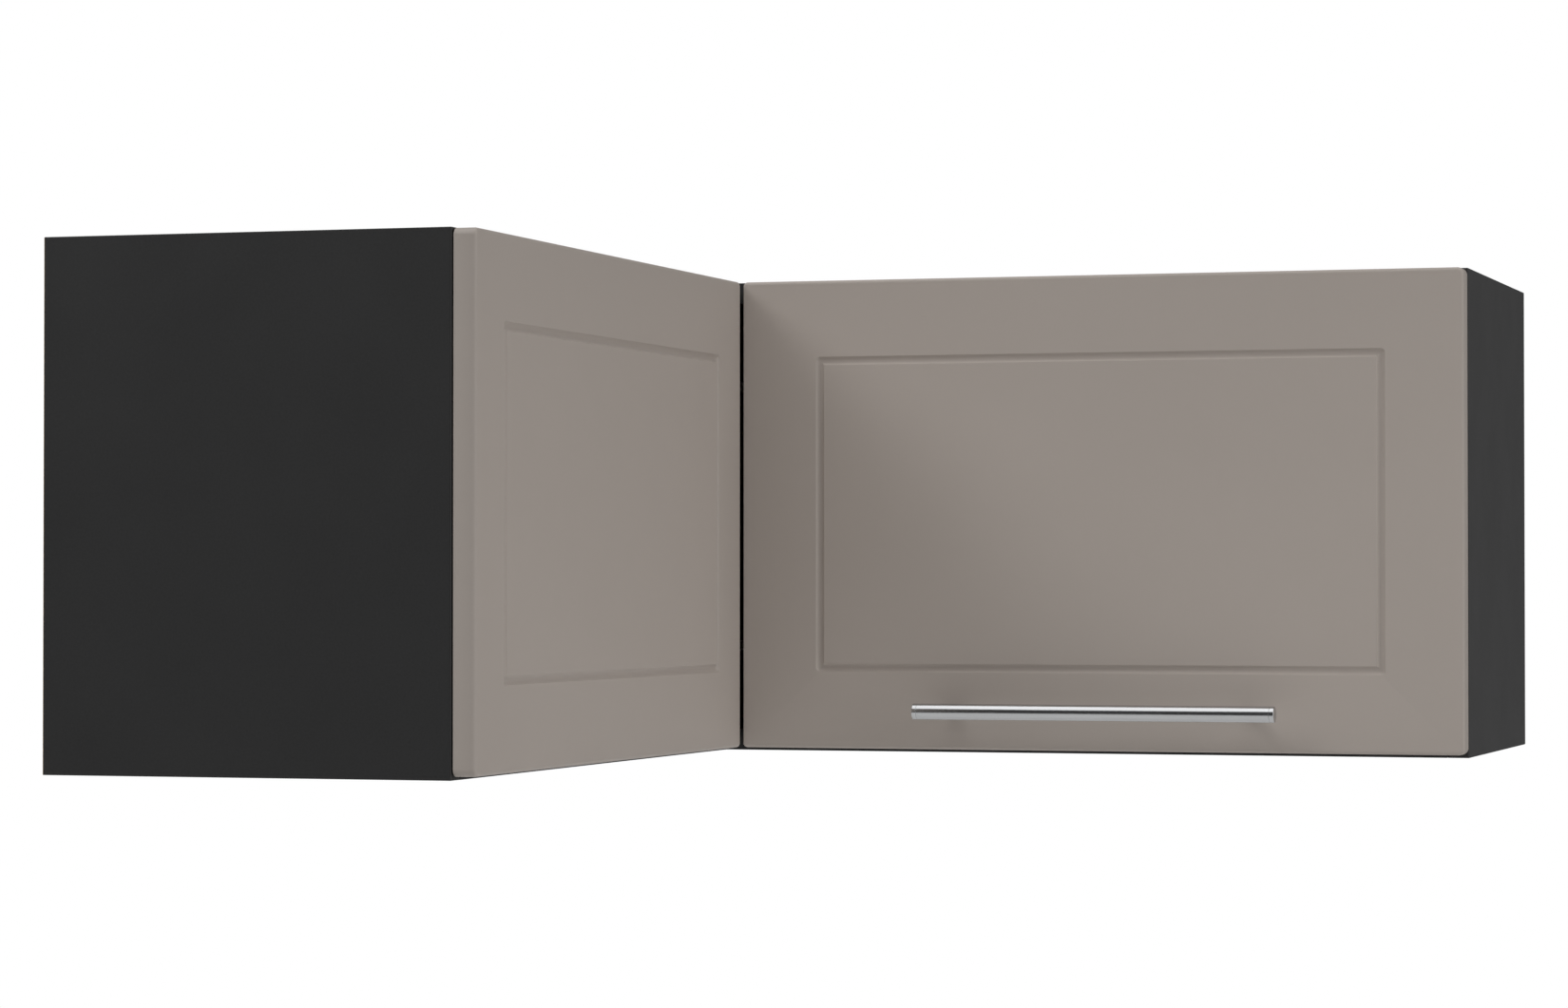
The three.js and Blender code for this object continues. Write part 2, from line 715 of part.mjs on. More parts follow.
// Channel that clips over the plate's block, with a tongue for the long link.
function hingeArmGeometry() {
  const front = armPivot.x - tongueLength;
  const back = front - armLength;
  const innerTop = boardThickness + seam + plateThickness + blockHeight + armPlay;
  const outerTop = innerTop + armWall;
  const halfInside = blockWidth / 2 + armPlay;
  const halfOutside = halfInside + armWall;
  const channel = roundedRectangle(back, outerTop - armDepth, front, outerTop, armWall);
  const shell = cutFrom(extruded(channel, 2 * halfOutside).translate(0, 0, -halfOutside), [
    block([back + armWall, 0, -halfInside], [front - armWall, innerTop, halfInside]),
  ]);
  const root = new THREE.Vector2(front - tongueRoot, outerTop - linkHalfWidth);
  const tongue = linkBar(root, armPivot, linkHalfWidth, tongueThickness);
  return cutFrom(joined([shell, tongue]), [pivotHole(armPivot, 2 * tongueThickness)]);
}

// Two cheeks and the two pins that join them.
function longLinkGeometry() {
  const cheekMiddle = (tongueThickness + linkThickness) / 2 + linkGap;
  const cheek = linkBar(armPivot, elbowPivot, linkHalfWidth, linkThickness);
  const pinLength = 2 * cheekMiddle;
  const pins = [armPivot, elbowPivot].map((pivot) => rod(linkPinRadius, pinLength)
    .translate(pivot.x, pivot.y, -pinLength / 2));
  return joined([
    cheek.clone().translate(0, 0, cheekMiddle),
    cheek.clone().translate(0, 0, -cheekMiddle),
    ...pins,
  ]);
}

// Cranked link that clears the end of the door when it stands open.
function shortLinkGeometry() {
  const link = strip([elbowPivot, shortLinkKnee, cupPivot], linkHalfWidth, tongueThickness);
  const holeLength = 2 * tongueThickness;
  return cutFrom(link, [pivotHole(elbowPivot, holeLength), pivotHole(cupPivot, holeLength)]);
}

function addSwingHinges() {
  const cupFlange = flangeStandIn - doorEdgeInset - cupEdgeDistance;
  for (const [level, height] of Object.entries(hingeHeights)) {
    const axis = addGroup([doorFront, -wingLength, height]);
    addPiece(`swing_plate_${level}`, hingePlateGeometry(), 'nickelSteel', [0, 0, 0], axis);
    addPiece(`swing_arm_${level}`, hingeArmGeometry(), 'nickelSteel', [0, 0, 0], axis);
    addPiece(`swing_long_link_${level}`, longLinkGeometry(), 'nickelSteel', [0, 0, 0], axis);
    addPiece(`swing_short_link_${level}`, shortLinkGeometry(), 'nickelSteel', [0, 0, 0], axis);
    const cup = cupGeometry(cupFlange, cupLugs()).rotateZ(Math.PI / 2);
    const cupPlace = [doorBack, doorEdgeInset + cupEdgeDistance - wingLength, height];
    addPiece(`swing_cup_${level}`, cup, 'nickelSteel', cupPlace);
  }
}

// ---- Folding hinges ----
// Drawn in plan from their pin: the left door's back lies at -X and the right door's back at -Y.

function knuckle(bottom, length) {
  return rod(foldKnuckleRadius, length, midSides).translate(0, 0, bottom);
}

function foldPinHole() {
  const length = 2 * foldMiddleKnuckle + 4 * foldOuterKnuckle;
  return rod(foldPinRadius + foldPinClearance, length).translate(0, 0, -length / 2);
}

// Strap from the left door's cup round the end of the door to the pin.
function foldArmGeometry() {
  const doorBackX = doorBack - foldPinAside;
  const cupY = foldPinDepth - doorStart - cupEdgeDistance;
  const behindX = doorBackX - foldStrapBehind;
  const half = foldStrapThickness / 2;
  const strap = strip([
    new THREE.Vector2(doorBackX + cupDepth - cupFloor - seam - half, cupY),
    new THREE.Vector2(behindX, cupY + foldStrapDrop),
    new THREE.Vector2(behindX, 0),
    new THREE.Vector2(0, 0),
  ], half, foldMiddleKnuckle);
  return cutFrom(joined([strap, knuckle(-foldMiddleKnuckle / 2, foldMiddleKnuckle)]), [foldPinHole()]);
}

// Plate on the right door's back, with a knuckle on each side of the arm's.
function foldPlateGeometry() {
  const halfHeight = foldPlateHeight / 2;
  const end = foldPlateStart + foldPlateLength;
  const outline = roundedRectangle(foldPlateStart, -halfHeight, end, halfHeight, foldKnuckleRadius);
  const surface = seam - foldPinBehind;
  const plate = extruded(outline, foldPlateThickness).rotateX(-Math.PI / 2).translate(0, surface, 0);
  const half = foldPlateThickness / 2;
  const neck = [new THREE.Vector2(0, 0), new THREE.Vector2(foldPlateStart + 2 * half, surface + half)];
  const low = foldMiddleKnuckle / 2 + seam;
  const middle = low + foldOuterKnuckle / 2;
  const knuckles = [knuckle(low, foldOuterKnuckle), knuckle(-low - foldOuterKnuckle, foldOuterKnuckle)];
  const arm = linkBar(...neck, half, foldOuterKnuckle);
  const necks = [middle, -middle].map((height) => arm.clone().translate(0, 0, height));
  return cutFrom(joined([plate, ...necks, ...knuckles]), [foldPinHole()]);
}

function foldPinGeometry() {
  const reach = foldMiddleKnuckle / 2 + foldOuterKnuckle + 2 * seam;
  const end = reach + foldPinHeadLength;
  return turned([
    [0, -end],
    [foldPinHeadRadius, -end],
    [foldPinHeadRadius, -reach],
    [foldPinRadius, -reach],
    [foldPinRadius, reach],
    [foldPinHeadRadius, reach],
    [foldPinHeadRadius, end],
    [0, end],
  ], pinSides);
}

function addFoldHinges() {
  const cupFlange = -flangeStandIn;
  for (const [level, height] of Object.entries(hingeHeights)) {
    const pin = addGroup([foldPinAside, -foldPinDepth, height]);
    addPiece(`fold_pin_${level}`, foldPinGeometry(), 'zincSteel', [0, 0, 0], pin);
    addPiece(`fold_arm_${level}`, foldArmGeometry(), 'nickelSteel', [0, 0, 0], pin);
    addPiece(`fold_plate_${level}`, foldPlateGeometry(), 'nickelSteel', [0, 0, 0], pin);
    const cup = cupGeometry(cupFlange).rotateZ(Math.PI / 2);
    addPiece(`fold_cup_${level}`, cup, 'nickelSteel', [doorBack, -doorStart - cupEdgeDistance, height]);
  }
}

// ---- Handle ----
// Drawn in the right door's frame, with the bar along +X.

// Turned bar with a chamfered cap on each end, set off by a fine line.
function handleBarGeometry() {
  const half = barLength / 2;
  const line = barCapLine;
  const end = [
    [0, half],
    [barRadius - barEndChamfer, half],
    [barRadius, half - barEndChamfer],
    [barRadius, half - barCapLength],
    [barRadius - line, half - barCapLength],
    [barRadius - line, half - barCapLength - line],
    [barRadius, half - barCapLength - line],
  ];
  const start = end.map(([radius, height]) => [radius, -height]);
  return turned([...start, ...end.reverse()], wideSides).rotateY(Math.PI / 2);
}

// Post that is coped to the back of the bar and bored for its screw.
function handlePostGeometry() {
  const post = rod(postRadius, barStandoff - seam, midSides).translate(0, 0, seam);
  const bar = rod(barRadius + seam, 4 * barRadius, wideSides)
    .rotateY(Math.PI / 2)
    .translate(-2 * barRadius, 0, barStandoff);
  const bore = rod(handleScrewRadius + handleScrewClearance, postBoreDepth + cutOverrun)
    .translate(0, 0, -cutOverrun);
  return cutFrom(post, [bar, bore]).rotateX(Math.PI / 2);
}

function handleScrewGeometry() {
  const head = -seam - handleScrewHeadLength;
  const tip = doorThickness + handleScrewReach;
  return turned([
    [0, head],
    [handleScrewHeadRadius - handleScrewHeadChamfer, head],
    [handleScrewHeadRadius, head + handleScrewHeadChamfer],
    [handleScrewHeadRadius, -seam],
    [handleScrewRadius, -seam],
    [handleScrewRadius, tip],
    [0, tip],
  ], pinSides).rotateX(Math.PI / 2);
}

function addHandle(door) {
  const height = barHeight - doorBottomGap;
  const barPlace = [handleMiddle, -doorThickness - barStandoff, height];
  addPiece('handle_bar', handleBarGeometry(), 'brushedSteel', barPlace, door);
  for (const [i, side] of ['left', 'right'].entries()) {
    const postPlace = [handleBores[i], -doorThickness, height];
    const screwPlace = [handleBores[i], 0, height];
    addPiece(`handle_post_${side}`, handlePostGeometry(), 'brushedSteel', postPlace, door);
    addPiece(`handle_screw_${side}`, handleScrewGeometry(), 'zincSteel', screwPlace, door);
  }
}

// ---- Bumpers ----

// Soft disc on the door's back that meets the front edge of the end panel.
function bumperGeometry() {
  const top = doorGap - bumperPlay;
  const dome = (top - bumperPlay) / 2;
  return turned([
    [0, bumperPlay],
    [bumperRadius, bumperPlay],
    [bumperRadius, top - dome],
    [bumperRadius - dome, top],
    [0, top],
  ]).rotateX(-Math.PI / 2);
}

function addBumpers(door) {
  const along = doorWidth + doorEdgeInset - boardThickness / 2;
  const heights = { lower: bumperEdgeDistance, upper: doorHeight - bumperEdgeDistance };
  for (const [level, height] of Object.entries(heights)) {
    addPiece(`bumper_${level}`, bumperGeometry(), 'clearRubber', [along, 0, height], door);
  }
}

function addDoors() {
  const left = addGroup([doorBack, doorEdgeInset - wingLength, doorBottomGap], Math.PI / 2);
  addPiece('left_door', leftDoorGeometry(), 'taupeFoil', [0, 0, 0], left);
  const right = addGroup([doorStart, -doorBack, doorBottomGap]);
  addPiece('right_door', rightDoorGeometry(), 'taupeFoil', [0, 0, 0], right);
  addHandle(right);
  addBumpers(right);
}

addCarcass();
addCamFittings();
addHangers();
addDoors();
addSwingHinges();
addFoldHinges();

export default cabinet;
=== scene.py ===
import bpy, bmesh, json, math
from mathutils import Matrix, Vector


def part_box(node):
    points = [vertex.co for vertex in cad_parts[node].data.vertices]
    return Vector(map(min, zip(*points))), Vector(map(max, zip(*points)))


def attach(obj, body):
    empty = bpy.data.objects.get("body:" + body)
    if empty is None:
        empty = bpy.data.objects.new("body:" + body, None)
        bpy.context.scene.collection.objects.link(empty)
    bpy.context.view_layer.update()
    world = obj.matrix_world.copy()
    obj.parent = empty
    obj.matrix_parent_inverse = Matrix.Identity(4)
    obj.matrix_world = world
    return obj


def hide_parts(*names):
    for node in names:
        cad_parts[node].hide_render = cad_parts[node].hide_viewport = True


# Corner wall cabinet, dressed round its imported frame. Settings are in millimetres and degrees where
# no other unit is named, the scene is in metres.
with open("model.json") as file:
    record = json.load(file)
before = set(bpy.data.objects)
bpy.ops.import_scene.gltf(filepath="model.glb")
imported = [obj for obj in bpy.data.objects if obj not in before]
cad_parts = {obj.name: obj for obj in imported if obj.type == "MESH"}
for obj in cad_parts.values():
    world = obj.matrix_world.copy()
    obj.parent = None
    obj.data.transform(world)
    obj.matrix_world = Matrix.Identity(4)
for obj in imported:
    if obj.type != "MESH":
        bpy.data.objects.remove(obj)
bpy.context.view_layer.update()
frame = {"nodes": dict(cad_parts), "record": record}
nodes = frame["nodes"]
bodies = frame["record"]["behaviour"]["bodies"]
slotOf = {row["node"]: row["material_slot"] for row in frame["record"]["subparts"]}
bodyOf = {node: body for body, members in bodies.items() for node in members}
mm = 0.001
tau = 2 * math.pi
weldWithin = 0.002        # points closer than this become one
slack = 0.01              # allowed when points are picked by where they lie

camera = {
    "place": (1359.3, -3540.8, 127.8),
    "yaw": 17.434,         # to the left of straight at the right wing
    "pitch": 1.034,        # above level
    "focal": 4656.7,       # in pixels of a frame 1650 wide
    "frameWidth": 1650,
    "sensor": 36,
    "seesTo": 60000,
}


def makeCamera(s):
    data = bpy.data.cameras.new("camera")
    data.sensor_width = s["sensor"]
    data.lens = s["focal"] / s["frameWidth"] * s["sensor"]
    data.clip_end = s["seesTo"] * mm
    obj = bpy.data.objects.new("camera", data)
    obj.location = Vector(s["place"]) * mm
    obj.rotation_euler = (math.radians(90 + s["pitch"]), 0, math.radians(s["yaw"]))
    bpy.context.scene.collection.objects.link(obj)
    bpy.context.scene.camera = obj
    print("camera placed")


softLights = {            # place, what it looks at, width, height, watts
    "rightLight": ((3850, -1600, 700), (450, -450, 180), 2200, 2600, 32.5),
    "leftLight": ((-1700, -2800, 2300), (450, -450, 180), 1500, 1300, 35),
    "topLight": ((500, -900, 2700), (450, -450, 0), 3000, 3000, 9),
}


def makeLights(rig):
    for name, (place, target, width, height, watts) in rig.items():
        data = bpy.data.lights.new(name, "AREA")
        data.shape = "RECTANGLE"
        data.size, data.size_y, data.energy = width * mm, height * mm, watts
        obj = bpy.data.objects.new(name, data)
        obj.location = Vector(place) * mm
        towards = Vector(target) - Vector(place)
        obj.rotation_euler = towards.to_track_quat("-Z", "Y").to_euler()
        obj.visible_camera = False
        bpy.context.scene.collection.objects.link(obj)
    print("lights placed:", len(rig))


surround = {              # light from each side at eye level, and from overhead
    "front": 0.05, "sides": 0.24, "behind": 0.17,
    "turns": (-0.78, -0.5, 0.2, 0.5),      # where one gives way to the next, -1 in front, 1 behind
    "over": 1.15, "overBehind": 0.12, "overTurns": (0.22, 0.36),
    "levelUpTo": 36, "overFrom": 42,       # above level
    "backdrop": 1,
}


def grey(light):
    return (light, light, light)


def makeSurround(s):
    world = bpy.data.worlds.new("studio")
    world.use_nodes = True
    tree = world.node_tree
    shade = tree.nodes["Background"]
    coords = tree.nodes.new("ShaderNodeTexCoord")
    split = tree.nodes.new("ShaderNodeSeparateXYZ")
    tree.links.new(coords.outputs["Generated"], split.inputs[0])
    ring = tree.nodes.new("ShaderNodeValToRGB")
    stops = ring.color_ramp.elements
    stops[0].color = (*grey(s["front"]), 1)
    stops[1].color = (*grey(s["behind"]), 1)
    for turn, light in zip(s["turns"], (s["front"], s["sides"], s["sides"], s["behind"])):
        stops.new((1 + turn) / 2).color = (*grey(light), 1)
    tree.links.new(spread(tree, split.outputs["Y"], 0, 1, -1, 1), ring.inputs["Fac"])
    low, high = (math.sin(math.radians(s[key])) for key in ("levelUpTo", "overFrom"))
    rise = spread(tree, split.outputs["Z"], 0, 1, low, high)
    past = spread(tree, split.outputs["Y"], 0, 1, *s["overTurns"])
    over = blendOf(tree, past, grey(s["over"]), grey(s["overBehind"]))
    light = blendOf(tree, rise, ring.outputs["Color"], over)
    tree.links.new(light, shade.inputs["Color"])
    seen = tree.nodes.new("ShaderNodeBackground")
    seen.inputs["Color"].default_value = (*grey(s["backdrop"]), 1)
    path = tree.nodes.new("ShaderNodeLightPath")
    pick = tree.nodes.new("ShaderNodeMixShader")
    tree.links.new(path.outputs["Is Camera Ray"], pick.inputs["Fac"])
    tree.links.new(shade.outputs[0], pick.inputs[1])
    tree.links.new(seen.outputs[0], pick.inputs[2])
    tree.links.new(pick.outputs[0], tree.nodes["World Output"].inputs["Surface"])
    bpy.context.scene.world = world
    bpy.context.scene.view_settings.view_transform = "Standard"
    print("surround lit")


def freshFinish(name, specular=0.5, metallic=0.0):
    finish = bpy.data.materials.new(name)
    finish.use_nodes = True
    shader = finish.node_tree.nodes["Principled BSDF"]
    shader.inputs["Metallic"].default_value = metallic
    shader.inputs["Specular IOR Level"].default_value = specular
    return finish, finish.node_tree, shader


def noiseOn(tree, scale, detail, roughness=0.5, stretch=(1, 1, 1)):
    coords = tree.nodes.new("ShaderNodeTexCoord")
    mapping = tree.nodes.new("ShaderNodeMapping")
    mapping.inputs["Scale"].default_value = stretch
    noise = tree.nodes.new("ShaderNodeTexNoise")
    noise.inputs["Scale"].default_value = scale
    noise.inputs["Detail"].default_value = detail
    noise.inputs["Roughness"].default_value = roughness
    tree.links.new(coords.outputs["Object"], mapping.inputs["Vector"])
    tree.links.new(mapping.outputs["Vector"], noise.inputs["Vector"])
    return noise.outputs["Fac"]


# Noise keeps mostly between 0.3 and 0.7, so that span is the one spread out
def spread(tree, value, low, high, fromLow=0.3, fromHigh=0.7):
    span = tree.nodes.new("ShaderNodeMapRange")
    span.inputs["From Min"].default_value = fromLow
    span.inputs["From Max"].default_value = fromHigh
    span.inputs["To Min"].default_value = low
    span.inputs["To Max"].default_value = high
    tree.links.new(value, span.inputs["Value"])
    return span.outputs["Result"]


def blendOf(tree, factor, first, second):
    mix = tree.nodes.new("ShaderNodeMix")
    mix.data_type = "RGBA"             # its sockets for colour are 6 and 7, and 2 at the output
    for socket, value in ((mix.inputs[6], first), (mix.inputs[7], second)):
        if isinstance(value, tuple):
            socket.default_value = (*value, 1)
        else:
            tree.links.new(value, socket)
    tree.links.new(factor, mix.inputs[0])
    return mix.outputs[2]


def worked(tree, operation, *values):
    node = tree.nodes.new("ShaderNodeMath")
    node.operation = operation
    for socket, value in zip(node.inputs, values):
        if isinstance(value, (int, float)):
            socket.default_value = value
        else:
            tree.links.new(value, socket)
    return node.outputs[0]


def reliefFrom(tree, height, strength, depth, under=None):
    bump = tree.nodes.new("ShaderNodeBump")
    bump.inputs["Strength"].default_value = strength
    bump.inputs["Distance"].default_value = depth * mm
    tree.links.new(height, bump.inputs["Height"])
    if under is not None:
        tree.links.new(under, bump.inputs["Normal"])
    return bump.outputs["Normal"]


def scaled(colour, by):
    return tuple(c * by for c in colour)


# Lets a colour drift between two tones of itself
def drifting(tree, value, colour, tones):
    dull, pale = (scaled(colour, tone) for tone in tones)
    return blendOf(tree, spread(tree, value, 0, 1), dull, pale)


def lay(tree, shader, tone, sheen, roughness, relief=None):
    tree.links.new(tone, shader.inputs["Base Color"])
    tree.links.new(spread(tree, sheen, *roughness), shader.inputs["Roughness"])
    if relief is not None:
        tree.links.new(relief, shader.inputs["Normal"])


# A pattern is given as patches to the metre and fineness, a relief as strength and depth
doorFoil = {
    "colour": (0.421, 0.374, 0.339), "specular": 0.35,
    "cloud": (3.5, 3), "cloudTones": (0.975, 1.025),
    "fleck": (1500, 2), "fleckTone": 0.96, "fleckShare": 0.5, "fleckRelief": (0.5, 0.02),
    "peel": (140, 1), "peelRelief": (0.35, 0.03),
    "sheen": (9, 4), "roughness": (0.44, 0.54),
    "edgeHighlightTone": 1.5, "edgeHighlightShare": 0.12, "edgeHighlightFrom": (0.52, 0.6),      # pale stretched foil and painted highlight along the rounded edges
    "sideShadeTone": 0.90, "shadedSideLayer": "narrow_side_shade",                     # painted shade on the narrow sides, darker than the front
}


def doorFoilFinish(s):
    finish, tree, shader = freshFinish("taupe_foil", s["specular"])
    tone = drifting(tree, noiseOn(tree, *s["cloud"]), s["colour"], s["cloudTones"])
    fleck = noiseOn(tree, *s["fleck"])
    flecked = spread(tree, fleck, 0, s["fleckShare"])
    tone = blendOf(tree, flecked, tone, scaled(s["colour"], s["fleckTone"]))
    # Painted highlight: rounded edges, found by pointiness, are lightened towards half again the foil
    # colour; partly pale stretched foil
    shape = tree.nodes.new("ShaderNodeNewGeometry")
    edge = spread(tree, shape.outputs["Pointiness"], 0, s["edgeHighlightShare"], *s["edgeHighlightFrom"])
    tone = blendOf(tree, edge, tone, scaled(s["colour"], s["edgeHighlightTone"]))
    # Painted shade: faces turned to the narrow sides are darkened to a tenth below the foil colour
    side = tree.nodes.new("ShaderNodeAttribute")
    side.attribute_name = s["shadedSideLayer"]
    shaded = worked(tree, "MULTIPLY_ADD", side.outputs["Fac"], s["sideShadeTone"] - 1, 1)
    tone = blendOf(tree, shaded, grey(0), tone)
    peel = reliefFrom(tree, noiseOn(tree, *s["peel"]), *s["peelRelief"])
    relief = reliefFrom(tree, fleck, *s["fleckRelief"], under=peel)
    lay(tree, shader, tone, noiseOn(tree, *s["sheen"]), s["roughness"], relief)
    return finish


carcassBoard = {
    "colour": (0.0204, 0.0204, 0.0207), "specular": 0.4,
    "cloud": (5, 3), "cloudTones": (0.97, 1.03),
    "pearl": (620, 2), "pearlTone": 1.6, "pearlShare": 0.35, "pearlRelief": (0.5, 0.035),
    "sheen": (14, 4), "roughness": (0.44, 0.49),
    "rawEdge": 0.6,        # wall edges of the boards aren't banded
    "core": (0.40, 0.30, 0.19), "chips": 420, "chipTones": (0.62, 1.15),
    "bandBack": 292.1,     # wall to the back of the band on the front edges
    "glueLine": 0.09, "glueTone": 0.35,
}


# Distance from the nearer of the two walls
def fromWall(tree):
    coords = tree.nodes.new("ShaderNodeTexCoord")
    split = tree.nodes.new("ShaderNodeSeparateXYZ")
    tree.links.new(coords.outputs["Object"], split.inputs[0])
    back = worked(tree, "MULTIPLY", split.outputs["Y"], -1)
    return worked(tree, "MINIMUM", split.outputs["X"], back)


# 1 on what lies against one of the two walls, 0 elsewhere
def wallEdge(tree, reach):
    return worked(tree, "LESS_THAN", fromWall(tree), reach * mm)


# 1 along the fine line where a board's front band is glued on
def bandLine(tree, place, width):
    return worked(tree, "COMPARE", fromWall(tree), place * mm, width * mm)


# Pressed chips of wood, each in its own tone
def chipboardCore(tree, s):
    coords = tree.nodes.new("ShaderNodeTexCoord")
    chips = tree.nodes.new("ShaderNodeTexVoronoi")
    chips.inputs["Scale"].default_value = s["chips"]
    tree.links.new(coords.outputs["Object"], chips.inputs["Vector"])
    split = tree.nodes.new("ShaderNodeSeparateColor")
    tree.links.new(chips.outputs["Color"], split.inputs["Color"])
    dull, pale = (scaled(s["core"], tone) for tone in s["chipTones"])
    return blendOf(tree, split.outputs["Red"], dull, pale)


def carcassBoardFinish(s):
    finish, tree, shader = freshFinish("anthracite_board", s["specular"])
    pearl = noiseOn(tree, *s["pearl"])
    face = drifting(tree, noiseOn(tree, *s["cloud"]), s["colour"], s["cloudTones"])
    pearly = spread(tree, pearl, 0, s["pearlShare"])
    face = blendOf(tree, pearly, face, scaled(s["colour"], s["pearlTone"]))
    glue = bandLine(tree, s["bandBack"], s["glueLine"])
    face = blendOf(tree, glue, face, scaled(s["colour"], s["glueTone"]))
    tone = blendOf(tree, wallEdge(tree, s["rawEdge"]), face, chipboardCore(tree, s))
    relief = reliefFrom(tree, pearl, *s["pearlRelief"])
    lay(tree, shader, tone, noiseOn(tree, *s["sheen"]), s["roughness"], relief)
    return finish


backBoard = {
    "colours": ((0.30, 0.205, 0.115), (0.44, 0.32, 0.19)), "specular": 0.3,
    "fibre": (260, 5, 0.7), "fibreRelief": (0.4, 0.08), "roughness": (0.6, 0.8),
}


def backBoardFinish(s):
    finish, tree, shader = freshFinish("pale_fibreboard", s["specular"])
    fibre = noiseOn(tree, *s["fibre"])
    tone = blendOf(tree, spread(tree, fibre, 0, 1), *s["colours"])
    lay(tree, shader, tone, fibre, s["roughness"], reliefFrom(tree, fibre, *s["fibreRelief"]))
    return finish


# Fine lines along the bar, as it is drawn and brushed lengthwise
handleSteel = {
    "colour": (0.56, 0.565, 0.575), "tones": (0.93, 1.05), "roughness": (0.14, 0.24),
    "lines": (900, 4, 0.65), "stretch": (0.012, 1, 1), "lineRelief": (0.5, 0.008),
}


def handleSteelFinish(s):
    finish, tree, shader = freshFinish("brushed_steel", metallic=1.0)
    lines = noiseOn(tree, *s["lines"], s["stretch"])
    tone = drifting(tree, lines, s["colour"], s["tones"])
    lay(tree, shader, tone, lines, s["roughness"], reliefFrom(tree, lines, *s["lineRelief"]))
    return finish


hingeSteel = {
    "colour": (0.62, 0.605, 0.575), "cloud": (60, 4), "tones": (0.96, 1.04),
    "roughness": (0.20, 0.32),
    "grain": (900, 3), "grainRelief": (0.3, 0.02),
}

zincSteel = {
    "colour": (0.52, 0.535, 0.55), "cloud": (240, 4), "tones": (0.90, 1.10),
    "roughness": (0.32, 0.46),
    "grain": (900, 3), "grainRelief": (0.3, 0.02),
}


def platedFinish(name, s):
    finish, tree, shader = freshFinish(name, metallic=1.0)
    cloud = noiseOn(tree, *s["cloud"])
    tone = drifting(tree, cloud, s["colour"], s["tones"])
    relief = reliefFrom(tree, noiseOn(tree, *s["grain"]), *s["grainRelief"])
    lay(tree, shader, tone, cloud, s["roughness"], relief)
    return finish


hangerPlastic = {
    "colour": (0.34, 0.345, 0.35), "tones": (0.95, 1.04), "roughness": (0.42, 0.56),
    "skin": (700, 3), "skinRelief": (0.5, 0.04),
}

bumperRubber = {
    "colour": (0.66, 0.65, 0.61), "tones": (0.95, 1.04), "roughness": (0.35, 0.5),
    "skin": (400, 3), "skinRelief": (0.5, 0.02),
}


def mouldedFinish(name, s):
    finish, tree, shader = freshFinish(name)
    skin = noiseOn(tree, *s["skin"])
    tone = drifting(tree, skin, s["colour"], s["tones"])
    lay(tree, shader, tone, skin, s["roughness"], reliefFrom(tree, skin, *s["skinRelief"]))
    return finish


finishes = {
    "door_foil": doorFoilFinish(doorFoil),
    "carcass_board": carcassBoardFinish(carcassBoard),
    "back_board": backBoardFinish(backBoard),
    "handle_steel": handleSteelFinish(handleSteel),
    "hinge_steel": platedFinish("nickel_steel", hingeSteel),
    "zinc_steel": platedFinish("zinc_steel", zincSteel),
    "hanger_plastic": mouldedFinish("grey_plastic", hangerPlastic),
    "bumper_rubber": mouldedFinish("clear_rubber", bumperRubber),
}
print("finishes made:", len(finishes))


def dressFrame():
    for name, obj in nodes.items():
        obj.data.materials.clear()
        obj.data.materials.append(finishes[slotOf[name]])
    print("frame nodes dressed:", len(nodes))


def objectFrom(bm, name):
    mesh = bpy.data.meshes.new(name)
    bm.to_mesh(mesh)
    bm.free()
    obj = bpy.data.objects.new(name, mesh)
    bpy.context.scene.collection.objects.link(obj)
    return obj


def weld(bm):
    bmesh.ops.remove_doubles(bm, verts=bm.verts, dist=weldWithin * mm)


def finished(bm, name, slot, body, replaces=(), place=Matrix.Identity(4), smoothBelow=35):
    weld(bm)
    bmesh.ops.recalc_face_normals(bm, faces=bm.faces)
    bmesh.ops.transform(bm, matrix=place, verts=bm.verts)
    obj = objectFrom(bm, name)
    obj.data.shade_smooth()
    obj.data.set_sharp_from_angle(angle=math.radians(smoothBelow))
    obj.data.materials.append(finishes[slot])
    even = obj.modifiers.new("even_normals", "WEIGHTED_NORMAL")
    even.keep_sharp = True
    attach(obj, body)
    if replaces:
        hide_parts(*replaces)
    return obj


def newVerts(made):
    return [v for v in made if isinstance(v, bmesh.types.BMVert)]


def chainEdges(made, verts):
    inside = set(verts)
    return [e for e in made if isinstance(e, bmesh.types.BMEdge) and inside.issuperset(e.verts)]


def chainOf(bm, points):
    verts = [bm.verts.new(p) for p in points]
    return verts, [bm.edges.new(pair) for pair in zip(verts, verts[1:])]


# Takes a profile of (reach, height) round a rectangle of corner centres, turning it at each one
def sweepRound(bm, profile, box, steps):
    x0, y0, x1, y1 = box
    verts, edges = chainOf(bm, [(x0, y0 - reach, height) for reach, height in profile])
    sides = (((x1 - x0, 0, 0), (x1, y0, 0)), ((0, y1 - y0, 0), (x1, y1, 0)),
             ((x0 - x1, 0, 0), (x0, y1, 0)), ((0, y0 - y1, 0), (x0, y0, 0)))
    for shift, corner in sides:
        made = bmesh.ops.extrude_edge_only(bm, edges=edges)["geom"]
        verts = newVerts(made)
        edges = chainEdges(made, verts)
        bmesh.ops.translate(bm, verts=verts, vec=shift)
        made = bmesh.ops.spin(bm, geom=verts + edges, cent=corner, axis=(0, 0, 1), angle=tau / 4,
                              steps=steps, use_merge=False, use_duplicate=False)["geom_last"]
        verts = newVerts(made)
        edges = chainEdges(made, verts)


